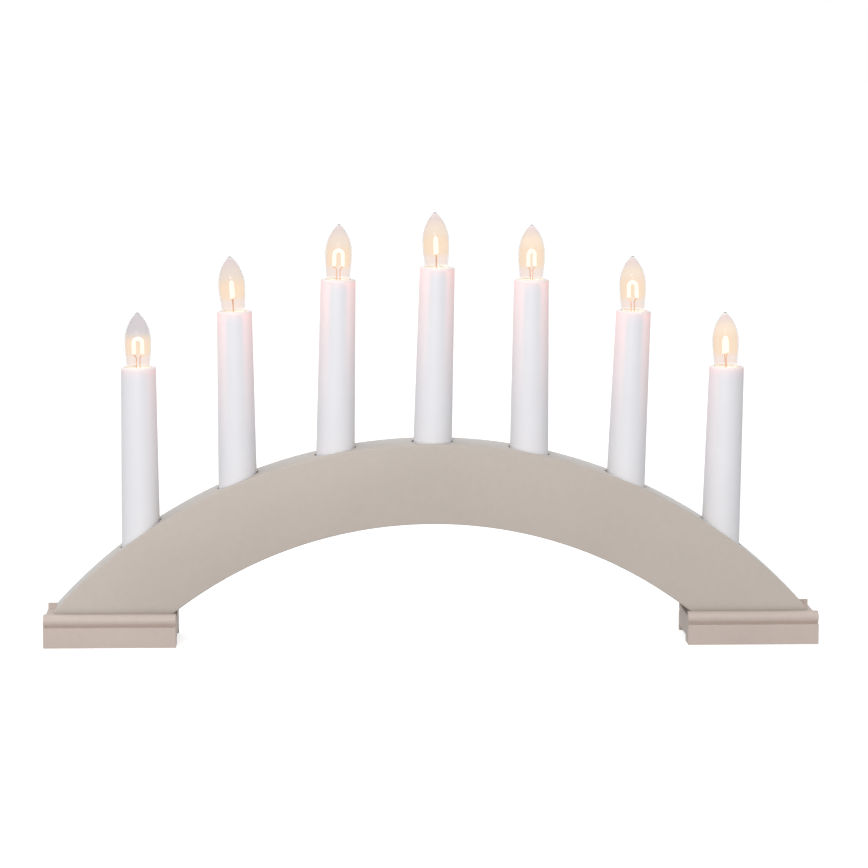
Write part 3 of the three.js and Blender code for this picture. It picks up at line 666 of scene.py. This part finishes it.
for i in range(tube_count):
    corner = tube_top - rim_round, tube_length - rim_round
    rim = [(corner[0] + rim_round * math.cos(angle), corner[1] + rim_round * math.sin(angle))
           for angle in (k * math.pi / (2 * rim_steps) for k in range(rim_steps + 1))]
    profile = [(tube_base - base_round, 0), (tube_base, base_round), (tube_base, spigot_length)]
    profile += rim + [(mouth_radius + mouth_round, tube_length),
                      (mouth_radius, tube_length - mouth_round),
                      (mouth_radius, tube_length - lip_thickness),
                      (tube_top - tube_wall, tube_length - lip_thickness),
                      (tube_base - tube_wall, 0)]
    tube = turned(profile, tube_sides, closed=True)
    ribs = []
    for side in (-1, 1):
        rib = bmesh.new()
        bmesh.ops.create_cube(rib, size=1, matrix=Matrix.Translation(
            (0, side * (tube_base + rib_height - rib_root / 2), rib_length / 2))
            @ Matrix.Diagonal((rib_width, rib_root, rib_length, 1)))
        ends = [edge for edge in rib.edges
                if all(side * vert.co.y > tube_base for vert in edge.verts)]
        bmesh.ops.bevel(rib, geom=ends, offset=rib_round, offset_type="OFFSET", affect="EDGES",
                        segments=2, profile=0.5, material=-1)
        ribs.append(rib)
    tube = cut_away(tube, ribs, "UNION")
    finished(f"candle_{i + 1}_tube", tube, tube_plastic, "stand",
             [f"candle_tube_{i + 1}"], place=tube_place(i))

# ---- Lampholders and their brass shells -----------------------------------------------------
# Each holder is a moulded plug in the head of its tube, with a funnel that guides the lamp in, a
# rolled brass shell for the thread and a sprung brass strip for the centre contact. The lit lamp
# makes the pale plastic glow a warm white.
holder_white, holder_roughness = (0.76, 0.74, 0.66, 1), 0.5
holder_glow = (1.0, 0.96, 0.88, 1)
brass_colour, brass_roughness = (0.72, 0.50, 0.20, 1), 0.28
holder_profile = [(0, -18.9), (7.5, -18.9), (7.7, -18.7), (7.7, -2.1), (7.5, -1.9), (7.3, -1.9),
                  (6.25, -4.3), (6.25, -13.0), (4.4, -13.0), (4.4, -16.0), (0, -16.0)]
shell_top, shell_bottom = -4.7, -12.7
shell_radius, shell_wall, shell_thread = 5.85, 0.4, 0.3
contact_outline = [(-3.2, -16.0), (-1.6, -16.0), (0, -14.8), (1.6, -14.8), (1.6, -14.4),
                   (-0.2, -14.4), (-1.8, -15.6), (-3.2, -15.6)]
contact_width, contact_edge = 3, 0.08
thread_rise, thread_steps = 1.814, 12
plain_edge, thread_reach, holder_sides = 0.01, 1, 48
holder_plastic = plastic("holder_plastic", holder_white, holder_roughness)
tree, shader = nodes_of(holder_plastic)
feed(tree, shader, {"Emission Color": holder_glow, "Emission Strength": 1.0})
brass = metal("rolled_brass", brass_colour, brass_roughness)


def threaded(shape, radius, top, bottom, depth):
    """Presses a right-hand thread into the walls between two heights of a turned shape."""
    for vert in shape.verts:
        x, y, height = vert.co
        reach = math.hypot(x, y)
        if bottom + plain_edge < height < top - plain_edge and reach > radius - thread_reach:
            turn = 2 * math.pi * height / thread_rise - math.atan2(y, x)
            fade = min(1, (top - height) / thread_rise * 2, (height - bottom) / thread_rise * 2)
            scale = (reach - fade * depth * (1 - math.cos(turn)) / 2) / reach
            vert.co = (x * scale, y * scale, height)


def rings(radius, top, bottom):
    """Points down a straight wall, close enough together for a thread."""
    count = round(abs(top - bottom) / thread_rise * thread_steps)
    return [(radius, top + (bottom - top) * k / count) for k in range(count + 1)]


for i in range(tube_count):
    head = tube_place(i) @ Matrix.Translation((0, 0, tube_length))
    finished(f"candle_{i + 1}_lampholder", turned(holder_profile, holder_sides), holder_plastic,
             "stand", [f"lampholder_{i + 1}"], place=head)
    strip = bmesh.new()
    corners = [strip.verts.new((x, -contact_width / 2, height)) for x, height in contact_outline]
    side = bmesh.ops.contextual_create(strip, geom=corners)["faces"]
    pulled_out(strip, side, (0, contact_width, 0))
    bmesh.ops.recalc_face_normals(strip, faces=strip.faces)
    ease_edges(strip, contact_edge, 2)
    finished(f"candle_{i + 1}_contact_strip", strip, brass, "stand",
             [f"lampholder_{i + 1}"], place=head)
    shell = turned(rings(shell_radius, shell_top, shell_bottom)
                   + rings(shell_radius - shell_wall, shell_bottom, shell_top), holder_sides,
                   closed=True)
    threaded(shell, shell_radius, shell_top, shell_bottom, shell_thread)
    finished(f"candle_{i + 1}_holder_shell", shell, brass, "stand",
             [f"holder_shell_{i + 1}"], place=head, sharp=60)

# ---- Lamps ----------------------------------------------------------------------------------
# Small clear flame-shaped lamps. Each is a blown glass with a rolled brass cap cemented to its
# neck, a black insulator with a soldered tip under it, two copper lead wires, and a bent U of
# light-emitting filament that shines nearly white. Its light tints the glass round it.
lamp_lean = [math.radians(angle) for angle in (-0.2, -3.1, 0.2, -3.2, -0.3, -3, -2.9)]
lamp_turn = [math.radians(angle) for angle in (8, 84, -6, 80, 38, -30, 62)]
lamp_greyness = (1.0, 0.45, 0.25, 0.2, 0.0, 0.1, 0.0)
lamp_height, belly_radius, belly_height = 29.4, 7.2, 13.8
tip_round, tip_drop, shoulder_pull, waist_pull, foot_pull = 1.5, 0.05, 8.8, 8, 5.8
glass_foot, glass_neck, neck_top, neck_end = 6.4, 3.9, 4.1, 6.8
glass_wall, glass_steps, inside_steps = 0.6, 16, 12
glass_sides, cap_sides, tip_sides, wire_sides = 64, 48, 32, 12
glass_look = {"Roughness": 0.07, "Transmission Weight": 1.0, "IOR": 1.3,
              "Specular Tint": (0.2, 0.2, 0.2, 1)}
foot_tint = (0.99, 0.97, 0.95, 1)
glass_tints = [((0.968, 0.893, 0.855, 1), 0, 2), ((0.985, 0.875, 0.765, 1), 4.5, 8),
               ((0.995, 0.905, 0.813, 1), 15, 20), ((0.940, 0.862, 0.840, 1), 21, 27),
               ((0.985, 0.970, 0.965, 1), 27.8, 29.2)]
# Each lamp's glass turns greyer by its own listed share, starting 13 mm up and full from 20 mm
grey_colour, grey_start, grey_full = (0.83, 0.80, 0.81, 1), 13, 20
# Painted shade: the grey-brown that the glass's colour darkens towards where it turns edge-on to
# the view
outline_shade_colour, outline_blend, outline_fall = (0.36, 0.30, 0.31, 1), 0.3, 2.6
outline_bottom, outline_top = (0, 2.5), (25.5, 28.5)
base_glow, base_glow_span = (0.11, 0.128, 0.106, 1), (-1.5, 1.5)
cap_radius, cap_wall, cap_top, cap_bottom = 4.75, 0.4, -4.4, -12.4
cap_hole, cap_skirt, cap_lap, cap_thread, cap_collar = 2.7, 0.5, 0.3, 0.35, 0.5
insulator_radius, insulator_seat = 2.6, 0.2
cap_tip_radius, cap_tip_bottom, cap_tip_height = 1.7, -13.9, 0.4
tip_profile = ((-0.1, 0.4), (-0.1, 0.25), (-0.5, 0.05))
filament_radius, filament_offset, filament_leg = 1.0, 2.3, 3
filament_bottom, filament_top, bend_steps = 7.1, 16.3, 16
filament_colour, filament_glow = (0.40, 0.38, 0.34, 1), 0.95
glow_warm, glow_white, grain_noise = (1.0, 0.98, 0.92, 1), (1.0, 1.0, 1.0, 1), (1500, 2, 0.5)
wire_radius, wire_offset = 0.25, 0.95
wire_gap, wire_straight, wire_kink, kink_offset = 0.3, 1.6, 1.0, 0.3
copper_colour, copper_roughness = (0.87, 0.57, 0.39, 1), 0.35
insulator_colour, insulator_roughness = (0.02, 0.02, 0.022, 1), 0.15
solder_colour, solder_roughness = (0.62, 0.62, 0.60, 1), 0.35
thread_middle = (cap_top + cap_bottom) / 2


def lamp_place(i):
    """From a lamp drawn upright on the plane of its tube's top to its place in its thread."""
    return (tube_place(i) @ Matrix.Translation((0, 0, tube_length + thread_middle))
            @ Matrix.Rotation(lamp_lean[i], 4, "Y") @ Matrix.Translation((0, 0, -thread_middle))
            @ Matrix.Rotation(lamp_turn[i], 4, "Z"))


def flame_outline(inset, steps):
    """Points of the glass's outline from the tip down to the end of the neck."""
    belly, foot, neck = belly_radius - inset, glass_foot - inset, glass_neck - inset
    tip = lamp_height - inset
    parts = [((0, tip), (tip_round, tip - tip_drop), (belly, belly_height + shoulder_pull),
              (belly, belly_height)),
             ((belly, belly_height), (belly, belly_height - waist_pull), (foot, foot_pull),
              (foot, 0)),
             ((foot, 0), (foot, -neck_top / 2), (neck, -neck_top / 2), (neck, -neck_top))]
    points = []
    for part in parts:
        corners = [Vector((radius, height, 0)) for radius, height in part]
        points += [(p.x, p.y) for p in interpolate_bezier(*corners, steps)][:-1]
    return points + [(neck, -neck_top), (neck, -neck_end)]


lamp_glass = bpy.data.materials.new("clear_lamp_glass")
tree, shader = nodes_of(lamp_glass)
tint = foot_tint
for colour, low, high in glass_tints:
    tint = tinted(tree, tint, colour, low, high)
# The glass turns greyer by each lamp's share, from 13 mm up
greyness = measured(tree, "girth", "Y", 0, uv_unit, False)
greyed = add_maths(tree, "MULTIPLY", greyness, measured(tree, "wrap", "Y", grey_start, grey_full))
tint = add_mix(tree, tint, grey_colour, greyed)
# Painted shade: the glass darkens where it turns edge-on to the view, above its foot and below its
# tip, standing in for the dark rims of the clear glass
edge = tree.nodes.new("ShaderNodeLayerWeight")
feed(tree, edge, {"Blend": outline_blend})
below_tip = add_maths(tree, "SUBTRACT", 1.0, measured(tree, "wrap", "Y", *outline_top))
on_body = add_maths(tree, "MULTIPLY", below_tip, measured(tree, "wrap", "Y", *outline_bottom))
outline = add_maths(tree, "MULTIPLY", on_body,
                    add_maths(tree, "POWER", edge.outputs["Facing"], outline_fall))
feed(tree, shader, {"Base Color": add_mix(tree, tint, outline_shade_colour, outline),
                    "Emission Color": tinted(tree, base_glow, black, *base_glow_span),
                    "Emission Strength": 1.0, **glass_look})

filament_coat = bpy.data.materials.new("lit_filament_coat")
tree, shader = nodes_of(filament_coat)
place = tree.nodes.new("ShaderNodeTexCoord")
grain = add_noise(tree, place.outputs["Object"], *grain_noise)
feed(tree, shader, {"Base Color": filament_colour,
                    "Emission Color": add_mix(tree, glow_warm, glow_white, grain),
                    "Emission Strength": filament_glow})

copper = metal("bright_copper", copper_colour, copper_roughness)
insulator_glass = plastic("black_insulator_glass", insulator_colour, insulator_roughness)
solder = metal("soldered_tip", solder_colour, solder_roughness)


def swept(shape, points, radius, sides=16):
    """A round bar along points, closed at both ends, by turning and bridging rings."""
    centres = [Vector(p) for p in points]
    last = len(centres) - 1
    loops = []
    for k, centre in enumerate(centres):
        ahead = centres[min(k + 1, last)] - centres[max(k - 1, 0)]
        place = Matrix.Translation(centre) @ ahead.to_track_quat("Z", "Y").to_matrix().to_4x4()
        verts = bmesh.ops.create_circle(shape, cap_ends=k in (0, last), radius=radius,
                                        segments=sides, matrix=place)["verts"]
        loops.append({edge for vert in verts for edge in vert.link_edges})
    for first, second in zip(loops, loops[1:]):
        bmesh.ops.bridge_loops(shape, edges=list(first | second))
    bmesh.ops.recalc_face_normals(shape, faces=shape.faces)


for i in range(tube_count):
    body = f"lamp_{i + 1}"
    place = lamp_place(i)
    glass = turned(flame_outline(0, glass_steps) + flame_outline(glass_wall, inside_steps)[::-1],
                   glass_sides, mark=lamp_greyness[i])
    finished(f"{body}_flame_glass", glass, lamp_glass, body,
             [f"lamp_glass_{i + 1}"], place=place, sharp=60)

    cap_node = [f"lamp_cap_{i + 1}"]
    cap = turned(rings(cap_radius, cap_top, cap_bottom)
                 + [(cap_hole, cap_bottom - cap_skirt), (cap_hole, cap_bottom + cap_lap)]
                 + rings(cap_radius - cap_wall, cap_bottom + cap_wall, cap_top), cap_sides,
                 closed=True)
    threaded(cap, cap_radius, cap_top - cap_collar, cap_bottom, cap_thread)
    finished(f"{body}_screw_cap", cap, brass, body, cap_node, place=place, sharp=60)
    tip_top = cap_tip_bottom + cap_tip_height
    insulator = turned([(0, cap_bottom + insulator_seat),
                        (insulator_radius, cap_bottom + insulator_seat),
                        (insulator_radius, cap_bottom - cap_skirt),
                        (cap_tip_radius, tip_top), (0, tip_top)], tip_sides)
    finished(f"{body}_cap_insulator", insulator, insulator_glass, body,
             cap_node, place=place)
    blob = [(cap_tip_radius + out, cap_tip_bottom + rise) for out, rise in tip_profile]
    tip = turned([(0, tip_top)] + blob + [(0, cap_tip_bottom)], tip_sides)
    finished(f"{body}_cap_tip", tip, solder, body, cap_node, place=place)
    wires = bmesh.new()
    wire_top = filament_bottom - wire_gap - wire_radius
    for side in (-1, 1):
        swept(wires, [(side * wire_offset, 0, cap_bottom + cap_wall), (side * wire_offset, 0, 0),
                      (side * wire_offset, 0, wire_top - wire_straight),
                      (side * (wire_offset + kink_offset), 0, wire_top - wire_kink),
                      (side * filament_offset, 0, wire_top)], wire_radius, wire_sides)
    finished(f"{body}_lead_wires", wires, copper, body, cap_node, place=place, sharp=60)

    bend = filament_top - filament_radius - filament_offset
    left_leg, right_leg = ([(side * filament_offset, 0, filament_bottom + height)
                            for height in (0, filament_leg)] for side in (-1, 1))
    arc = [(-filament_offset * math.cos(math.pi * k / bend_steps), 0,
            bend + filament_offset * math.sin(math.pi * k / bend_steps))
           for k in range(bend_steps + 1)]
    filament = bmesh.new()
    swept(filament, left_leg + arc + right_leg[::-1], filament_radius)
    finished(f"{body}_filament", filament, filament_coat, body,
             [f"lamp_filament_{i + 1}"], place=place, sharp=50)

# ---- Leads and bush -------------------------------------------------------------------------
# Thin insulated leads run from lamp to lamp through the channel, and a moulded bush with an oval
# bore lines the hole at the back where the mains lead enters.
sheath_colour, sheath_roughness = (0.76, 0.75, 0.71, 1), 0.45
bush_colour, bush_roughness = (0.72, 0.72, 0.73, 1), 0.4
bush_radius, flange_radius, bush_edge = 3.6, 5.6, 0.3
bush_inner_end, flange_face, bush_back = 6.5, 15.4, 16.8
flange_edge, flange_bulge = 0.5, 0.15
oval_width, oval_height, oval_reach = 5.4, 3.0, 30
bush_sides, oval_sides = 48, 32
lead_sheath = plastic("white_lead_sheath", sheath_colour, sheath_roughness)
for name in ["feed_lead", "return_lead"] + [f"series_lead_{k}" for k in range(1, tube_count)]:
    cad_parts[name].data.materials.clear()
    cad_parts[name].data.materials.append(lead_sheath)
bush_plastic = plastic("bush_plastic", bush_colour, bush_roughness)
bush = turned([(0, bush_inner_end), (bush_radius - bush_edge, bush_inner_end),
               (bush_radius, bush_inner_end + bush_edge), (bush_radius, flange_face),
               (flange_radius, flange_face), (flange_radius, bush_back - flange_edge),
               (flange_radius - flange_bulge, bush_back - flange_bulge),
               (flange_radius - flange_edge, bush_back), (0, bush_back)], bush_sides)
ovals = []
for shift in (-1, 0, 1):
    oval = bmesh.new()
    if shift:
        x = shift * (oval_width - oval_height) / 2
        drill(oval, (x, 0, 0), (x, 0, oval_reach), oval_height / 2, sides=oval_sides)
    else:
        bmesh.ops.create_cube(oval, size=1, matrix=Matrix.Translation((0, 0, oval_reach / 2))
                              @ Matrix.Diagonal((oval_width - oval_height, oval_height,
                                                 oval_reach, 1)))
    ovals.append(oval)
bush = cut_away(bush, ovals)
finished("mains_inlet_bush", bush, bush_plastic, "stand", ["cord_bush"],
         place=Matrix.Translation(inlet_middle) @ Matrix.Rotation(-math.pi / 2, 4, "X"))
